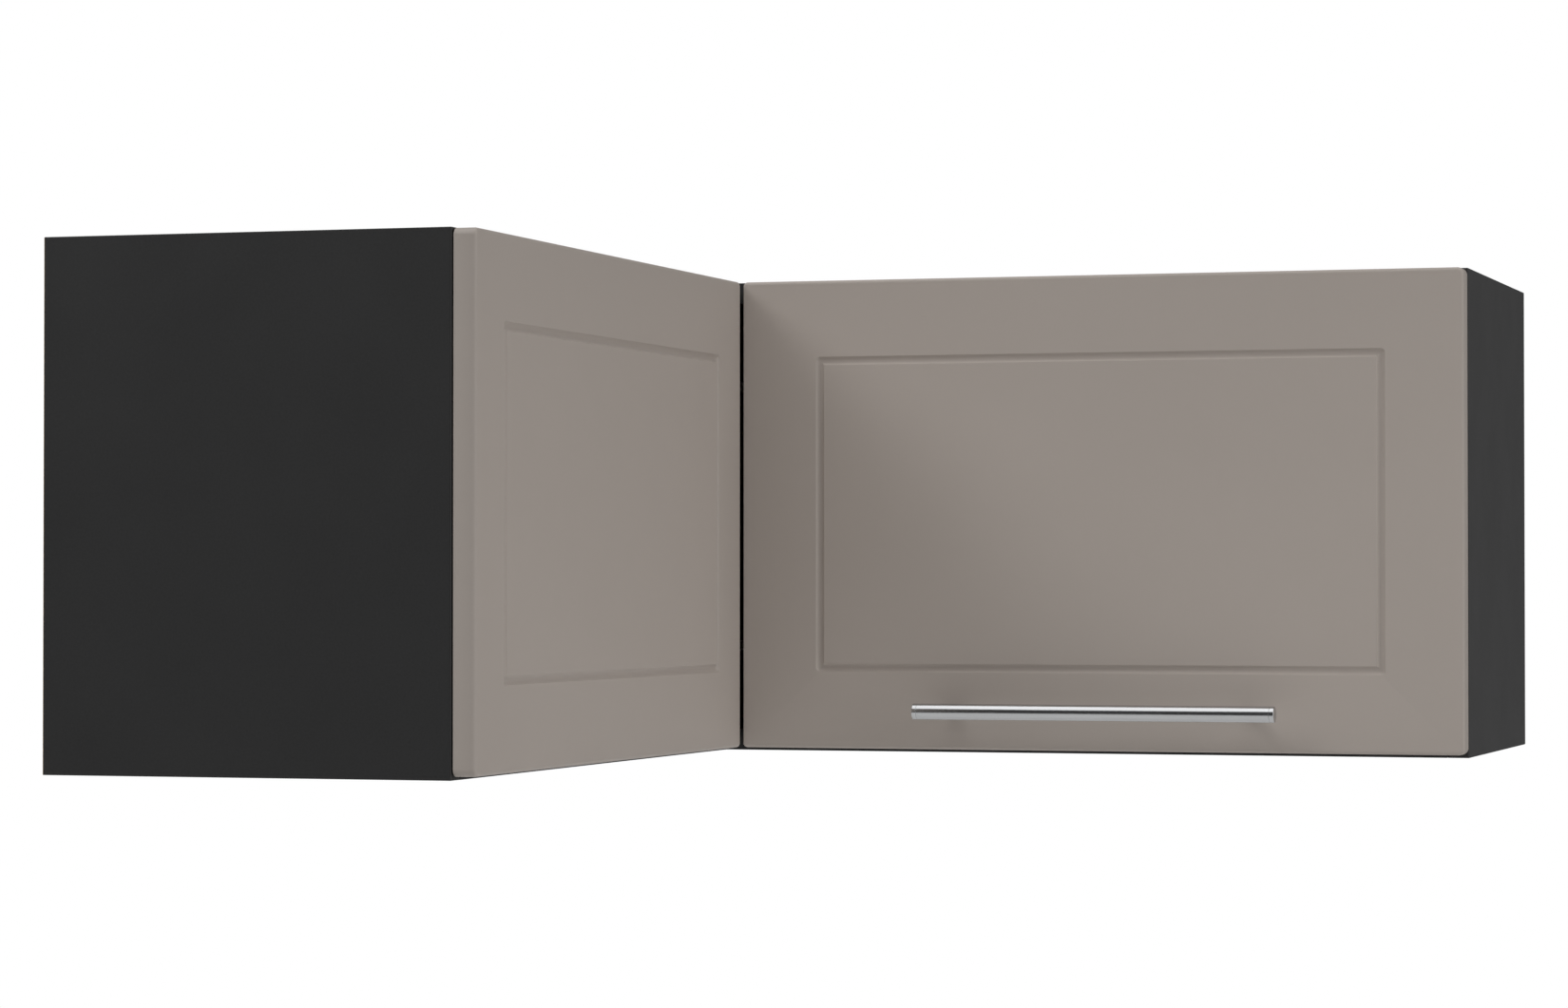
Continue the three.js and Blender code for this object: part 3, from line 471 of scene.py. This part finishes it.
# Takes a profile of (inset, height) round a rectangle with mitred corners
def sweepMitred(bm, profile, box):
    x0, y0, x1, y1 = box
    centre = Matrix.Translation((-(x0 + x1) / 2, -(y0 + y1) / 2, 0))
    verts, edges = chainOf(bm, [(x0 + inset, y0 + inset, height) for inset, height in profile])
    for flip in ((-1, 1, 1), (1, -1, 1)) * 2:
        made = bmesh.ops.extrude_edge_only(bm, edges=edges)["geom"]
        verts = newVerts(made)
        edges = chainEdges(made, verts)
        bmesh.ops.scale(bm, vec=flip, space=centre, verts=verts)


def turned(bm, profile, steps):
    verts, edges = chainOf(bm, [(radius, 0, height) for radius, height in profile])
    bmesh.ops.spin(bm, geom=verts + edges, cent=(0, 0, 0), axis=(0, 0, 1), angle=tau,
                   steps=steps, use_merge=True, use_duplicate=False)


def arc(cx, cy, radius, start, end, steps):
    angles = [math.radians(start + (end - start) * i / steps) for i in range(steps + 1)]
    return [(cx + radius * math.cos(a), cy + radius * math.sin(a)) for a in angles]


def toMetres(points):
    return [tuple(c * mm for c in p) for p in points]


doors = {
    "cornerRadius": 5, "edgeRadius": 2.5, "backRadius": 0.4,
    "railMargin": 58, "stileMargin": {"right_door": 58, "left_door": 50},
    "grooveWidth": 7, "grooveDepth": 2.2, "lipRadius": 0.7,
    "arcSteps": 8, "turnSteps": 10, "backSteps": 3,
    "meetingCorner": 3, "meetingEdge": 0.6,        # radii where the two doors meet
    "cupBoreRadius": 17.5, "cupBoreDepth": 13, "cupFromEnd": 22, "cupBoreSides": 64,
    "handleBoreRadius": 2.3, "handleBoreSides": 24,
}


# Half of the groove's section: the ball of the cutter, then a rounded lip that meets the face
def grooveHalf(s):
    half, depth, lip = s["grooveWidth"] / 2, s["grooveDepth"], s["lipRadius"]
    ball = (half ** 2 + depth ** 2 - 2 * depth * lip) / (2 * depth)
    turn = math.degrees(math.atan2(half, ball - depth + lip))
    rise = arc(0, ball - depth, ball, -90, turn - 90, s["arcSteps"])
    return rise + arc(half, -lip, lip, 90 + turn, 90, s["arcSteps"] // 2)[1:]


# Draws one end of the outline tight: smaller corners, and a smaller radius on its front edge
def tightenEnd(bm, s, width, height, far):
    corner, edge = s["cornerRadius"], s["edgeRadius"]
    for v in bm.verts:
        x, y, z = v.co / mm
        across = width - x if far else x
        up = min(y, height - y)
        if across > corner + slack:
            continue
        reach = math.hypot(corner - across, corner - up)
        turn = math.atan2(corner - up, corner - across)
        radius = s["meetingEdge"] + (edge - s["meetingEdge"]) * turn / (tau / 4)
        if z > -edge - slack:
            z *= radius / edge
            reach = s["meetingCorner"] - radius + (reach - corner + edge) * radius / edge
        else:
            reach += s["meetingCorner"] - corner
        across = s["meetingCorner"] - reach * math.cos(turn)
        up = s["meetingCorner"] - reach * math.sin(turn)
        x = width - across if far else across
        y = up if y < height / 2 else height - up
        v.co = Vector((x, y, z)) * mm


# Marks how far each face of the outline is turned to a narrow side, where the foil gets painted shade
def markSides(bm, s):
    layer = bm.loops.layers.float.new(doorFoil["shadedSideLayer"])
    for face in bm.faces:
        for loop in face.loops:
            loop[layer] = min(1, max(0, -loop.vert.co.z / mm / s["edgeRadius"]))


def boredRings(bm, centres, radius, height, sides):
    rings = []
    for x, y in centres:
        made = bmesh.ops.create_circle(bm, cap_ends=False, segments=sides, radius=radius * mm,
                                       matrix=Matrix.Translation(Vector((x, y, height)) * mm))
        rings.append({e for v in made["verts"] for e in v.link_edges})
    return rings


def flatFill(bm, edges):
    return bmesh.ops.triangle_fill(bm, use_beauty=True, use_dissolve=False, edges=list(edges))


def makeDoor(s, node, body, place, meetsFar, cups=(), bores=()):
    low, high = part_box(node)
    size = (high - low) / mm
    width, height, thick = max(size.x, size.y), size.z, min(size.x, size.y)
    bm = bmesh.new()
    r, c = s["edgeRadius"], s["cornerRadius"]
    front = arc(c - r, -r, r, 90, 0, s["arcSteps"])
    back = arc(c - s["backRadius"], s["backRadius"] - thick, s["backRadius"], 0, -90, s["backSteps"])
    centres = [v * mm for v in (c, c, width - c, height - c)]
    sweepRound(bm, toMetres(front + back), centres, s["turnSteps"])
    weld(bm)
    markSides(bm, s)
    tightenEnd(bm, s, width, height, meetsFar)
    alongX = s["stileMargin"][node] + s["grooveWidth"] / 2
    alongY = s["railMargin"] + s["grooveWidth"] / 2
    track = [v * mm for v in (alongX, alongY, width - alongX, height - alongY)]
    sweepRound(bm, toMetres(grooveHalf(s)), track, s["turnSteps"])
    sweepMitred(bm, toMetres(grooveHalf(s)), track)
    weld(bm)
    rims = [e for e in bm.edges if e.is_boundary]
    onFace = [e for e in rims if all(abs(v.co.z) < slack * mm for v in e.verts)]
    onBack = [e for e in rims if all(abs(v.co.z + thick * mm) < slack * mm for v in e.verts)]
    island = [e for e in onFace if all(track[0] < v.co.x < track[2] for v in e.verts)
              and all(track[1] < v.co.y < track[3] for v in e.verts)]
    faceHoles = boredRings(bm, bores, s["handleBoreRadius"], 0, s["handleBoreSides"])
    backHoles = boredRings(bm, bores, s["handleBoreRadius"], -thick, s["handleBoreSides"])
    cupHoles = boredRings(bm, cups, s["cupBoreRadius"], -thick, s["cupBoreSides"])
    flatFill(bm, set(onFace).difference(island).union(*faceHoles))
    flatFill(bm, island)
    flatFill(bm, set(onBack).union(*backHoles, *cupHoles))
    for first, second in zip(faceHoles, backHoles):
        bmesh.ops.bridge_loops(bm, edges=list(first | second))
    for ring in cupHoles:
        made = bmesh.ops.extrude_edge_only(bm, edges=list(ring))["geom"]
        verts = newVerts(made)
        bmesh.ops.translate(bm, verts=verts, vec=(0, 0, s["cupBoreDepth"] * mm))
        bmesh.ops.contextual_create(bm, geom=chainEdges(made, verts))
    return finished(bm, node + "_panel", "door_foil", body, [node], place)


def standing(origin, along, outward):
    up = Vector((0, 0, 1))
    turn = Matrix((along, up, outward)).transposed().to_4x4()
    return Matrix.Translation(origin) @ turn


def makeDoors(s):
    low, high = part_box("right_door")
    postAt = [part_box("handle_post_" + side) for side in ("left", "right")]
    bores = [tuple(((a + b) / 2 - low)[i] / mm for i in (0, 2)) for a, b in postAt]
    place = standing(low, Vector((1, 0, 0)), Vector((0, -1, 0)))
    makeDoor(s, "right_door", "right_leaf", place, False, bores=bores)
    low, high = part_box("left_door")
    length = (high.y - low.y) / mm
    cups = []
    for level in ("lower", "upper"):
        a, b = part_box("fold_cup_" + level)
        rise = ((a.z + b.z) / 2 - low.z) / mm
        cups += [(s["cupFromEnd"], rise), (length - s["cupFromEnd"], rise)]
    place = standing(Vector((high.x, low.y, low.z)), Vector((0, 1, 0)), Vector((1, 0, 0)))
    makeDoor(s, "left_door", "left_leaf", place, True, cups=cups)
    print("doors made")


barHandle = {
    "sides": 72, "smoothBelow": 30, "endRadius": 0.6, "endSteps": 4,
    "capLength": 3.5, "capLine": 0.2, "capLineLip": 0.1, "capLineBend": 0.6,
    "postSides": 48, "postRadius": 4.5, "postFoot": 0.4,
    "screwHeadHeight": 2.2, "screwShank": 2,
    "screwTurn": 0.5,      # in radians
}


# The bar with a fine line round each end, where its cap begins
def makeBar(s):
    low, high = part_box("handle_bar")
    radius = (high.z - low.z) / 2 / mm
    half = (high.x - low.x) / 2 / mm
    line, lip, cap, r = s["capLine"], s["capLineLip"], half - s["capLength"], s["endRadius"]
    bend = radius - line * s["capLineBend"]
    end = [(0, half)] + arc(radius - r, half - r, r, 90, 0, s["endSteps"])
    end += [(radius, cap + lip), (bend, cap), (radius - line, cap - line / 2), (bend, cap - line),
            (radius, cap - line - lip)]
    bm = bmesh.new()
    turned(bm, toMetres(end + [(x, -h) for x, h in reversed(end)]), s["sides"])
    place = Matrix.Translation((low + high) / 2) @ Matrix.Rotation(tau / 4, 4, "Y")
    finished(bm, "handle_bar_brushed", "handle_steel", "right_leaf", ["handle_bar"], place,
             s["smoothBelow"])


def makePost(s, node):
    a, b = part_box(node)
    axis = (a + b) / 2
    length = (b.y - a.y) / mm
    foot, radius = s["postFoot"], s["postRadius"]
    profile = [(0, 0), (radius - foot, 0), (radius, foot), (radius, length), (0, length)]
    bm = bmesh.new()
    turned(bm, toMetres(profile), s["postSides"])
    place = Matrix.Translation((axis.x, b.y, axis.z)) @ Matrix.Rotation(tau / 4, 4, "X")
    finished(bm, node + "_turned", "handle_steel", "right_leaf", [node], place, s["smoothBelow"])


# Screw that holds a post from behind the door
def makeHandleScrew(s, node):
    a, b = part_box(node)
    middle = (a + b) / 2
    radius = (b.x - a.x) / 2 / mm
    length = (b.y - a.y) / mm - s["screwHeadHeight"]
    seat = Vector((middle.x, b.y - s["screwHeadHeight"] * mm, middle.z))
    stem = [(0, -length), (s["screwShank"], -length), (s["screwShank"], 0), (radius, 0)]
    bm = bmesh.new()
    crossHead(bm, screwHead, radius, s["screwHeadHeight"], stem)
    place = facing(seat, (0, 1, 0), s["screwTurn"])
    finished(bm, node + "_turned", "zinc_steel", "right_leaf", [node], place)


def makeHandle(s):
    makeBar(s)
    for side in ("left", "right"):
        makePost(s, "handle_post_" + side)
        makeHandleScrew(s, "handle_screw_" + side)
    print("handle made")


fittings = {
    "weldWithin": 0.003,
    "flatBelow": 0.6,      # faces that meet at less are one
    "roundAbove": 36,      # edges that turn by more are rounded
    "edges": {             # what starts with the name: radius, steps
        "swing_plate": (0.5, 2), "swing_arm": (0.55, 3), "swing_long_link": (0.4, 2),
        "swing_short_link": (0.4, 2), "swing_cup": (0.3, 2),
        "fold_cup": (0.3, 2), "fold_arm": (0.45, 2), "fold_plate": (0.45, 2), "fold_pin": (0.35, 2),
        "hanger_body": (1.1, 3), "hanger_hook": (0.5, 2), "hanger_screw": (0.15, 1),
        "cam": (0.25, 1), "corner_stile": (0.6, 2),
        "right_end_panel": (0.5, 2), "left_end_panel": (0.5, 2),
        "bottom_panel": (0.5, 2), "top_panel": (0.5, 2),
    },
}


# Copy of a solid with its flat faces made whole and its edges rounded
def refinedCopy(s, node, slot, radius, steps):
    bm = bmesh.new()
    bm.from_mesh(nodes[node].data)
    bmesh.ops.remove_doubles(bm, verts=bm.verts, dist=s["weldWithin"] * mm)
    flat, turn = math.radians(s["flatBelow"]), math.radians(s["roundAbove"])
    bmesh.ops.dissolve_limit(bm, angle_limit=flat, verts=bm.verts, edges=bm.edges)
    corners = [e for e in bm.edges if e.is_manifold and e.calc_face_angle(0) > turn]
    bmesh.ops.bevel(bm, geom=corners, offset=radius * mm, offset_type="OFFSET", segments=steps,
                    profile=0.5, material=-1, affect="EDGES", clamp_overlap=True)
    bmesh.ops.triangulate(bm, faces=[f for f in bm.faces if len(f.verts) > 4])
    finished(bm, node + "_refined", slot, bodyOf[node], [node], smoothBelow=s["roundAbove"])


def refineFittings(s):
    made = 0
    for node, slot in slotOf.items():
        for start, (radius, steps) in s["edges"].items():
            if node.startswith(start):
                refinedCopy(s, node, slot, radius, steps)
                made += 1
                break
    print("fittings refined:", made)


screwHead = {
    "sides": 24, "radius": 3.6, "height": 1.5, "edge": 0.7, "edgeSteps": 4, "flatFrom": 1.25,
    "crossLong": 2.1, "crossWide": 0.42, "crossDeep": 1.1, "crossTaper": 0.72,
}


# Raised head with a cross recess on a turned stem, the head's seat on z = 0 and its top towards +Z
def crossHead(bm, s, radius, height, stem):
    rim = arc(radius - s["edge"], height - s["edge"], s["edge"], 0, 90, s["edgeSteps"])
    profile = stem + rim[:-1] + [(radius - s["edge"] * s["flatFrom"], height)]
    turned(bm, toMetres(profile), s["sides"])
    weld(bm)
    brim = (height - slack) * mm
    top = [e for e in bm.edges if e.is_boundary and all(v.co.z > brim for v in e.verts)]
    a, b = s["crossLong"], s["crossWide"]
    arm = ((a, -b), (a, b), (b, b))
    outline = [(x * math.cos(turn) - y * math.sin(turn), x * math.sin(turn) + y * math.cos(turn))
               for turn in (0, tau / 4, tau / 2, 3 * tau / 4) for x, y in arm]
    verts = [bm.verts.new((x * mm, y * mm, height * mm)) for x, y in outline]
    ring = [bm.edges.new((verts[i - 1], verts[i])) for i in range(len(verts))]
    flatFill(bm, top + ring)
    made = bmesh.ops.extrude_edge_only(bm, edges=ring)["geom"]
    low = newVerts(made)
    bmesh.ops.scale(bm, vec=(s["crossTaper"], s["crossTaper"], 1), verts=low)
    bmesh.ops.translate(bm, verts=low, vec=(0, 0, -s["crossDeep"] * mm))
    bmesh.ops.contextual_create(bm, geom=chainEdges(made, low))


def facing(point, direction, turn=0.0):
    aim = Vector(direction).to_track_quat("Z", "Y").to_matrix().to_4x4()
    return Matrix.Translation(point) @ aim @ Matrix.Rotation(turn, 4, "Z")


hingeScrews = {
    "sunk": 0.25,
    "turnEach": 0.37,                                   # in radians, from one head to the next
    "plateRises": (-16, 16), "plateSeat": 2,
    "flanges": {"swing_cup_": 1.1, "fold_cup_": -9.6},  # from the middle of each kind of cup
    "flangeRises": (-24, 24),
    "foldPlateAlong": (20, 46), "foldPlateRises": (-7, 7), "foldPlateSeat": 2.3,
}


# Name, body, place and the way it faces, for each screw
def screwSpots(s):
    for level in ("lower", "upper"):
        a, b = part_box("swing_plate_" + level)
        middle = (a + b) / 2
        for end, rise in zip("ab", s["plateRises"]):
            yield ("plate_screw_" + level + "_" + end, "carcass",
                   (middle.x, a.y + s["plateSeat"] * mm, middle.z + rise * mm), (0, 1, 0))
        for kind, shift in s["flanges"].items():
            a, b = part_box(kind + level)
            middle = (a + b) / 2
            for end, rise in zip("ab", s["flangeRises"]):
                yield (kind + "screw_" + level + "_" + end, "left_leaf",
                       (a.x, middle.y + shift * mm, middle.z + rise * mm), (-1, 0, 0))
        a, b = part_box("fold_plate_" + level)
        middle = (a + b) / 2
        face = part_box("right_door")[1].y + s["foldPlateSeat"] * mm
        for column, along in zip("ab", s["foldPlateAlong"]):
            for row, rise in zip("cd", s["foldPlateRises"]):
                yield ("fold_plate_screw_" + level + "_" + column + row, "right_leaf",
                       (a.x + along * mm, face, middle.z + rise * mm), (0, 1, 0))


def makeHingeScrews(s):
    head = screwHead
    stem = [(0, -s["sunk"]), (head["radius"], -s["sunk"])]
    spots = list(screwSpots(s))
    for count, (name, body, point, direction) in enumerate(spots):
        bm = bmesh.new()
        crossHead(bm, head, head["radius"], head["height"], stem)
        finished(bm, name, "zinc_steel", body, place=facing(point, direction, s["turnEach"] * count))
    print("screws made:", len(spots))


floorPlan = {
    "size": 16000, "height": -1420, "centre": (430, -430),
    "colours": ((0.84, 0.84, 0.835), (0.85, 0.85, 0.845)), "specular": 0.2,
    "grain": (60, 3), "roughness": (0.75, 0.85),
}


def floorFinish(s):
    finish, tree, shader = freshFinish("pale_floor", s["specular"])
    grain = noiseOn(tree, *s["grain"])
    lay(tree, shader, blendOf(tree, grain, *s["colours"]), grain, s["roughness"])
    return finish


def makeFloor(s):
    bm = bmesh.new()
    bmesh.ops.create_grid(bm, x_segments=1, y_segments=1, size=s["size"] / 2 * mm)
    bmesh.ops.translate(bm, verts=bm.verts, vec=Vector((*s["centre"], s["height"])) * mm)
    floor = objectFrom(bm, "studio_floor")
    floor.data.materials.append(floorFinish(s))
    print("floor laid")


dressFrame()
makeDoors(doors)
makeHandle(barHandle)
refineFittings(fittings)
makeHingeScrews(hingeScrews)
makeCamera(camera)
makeSurround(surround)
makeLights(softLights)
makeFloor(floorPlan)
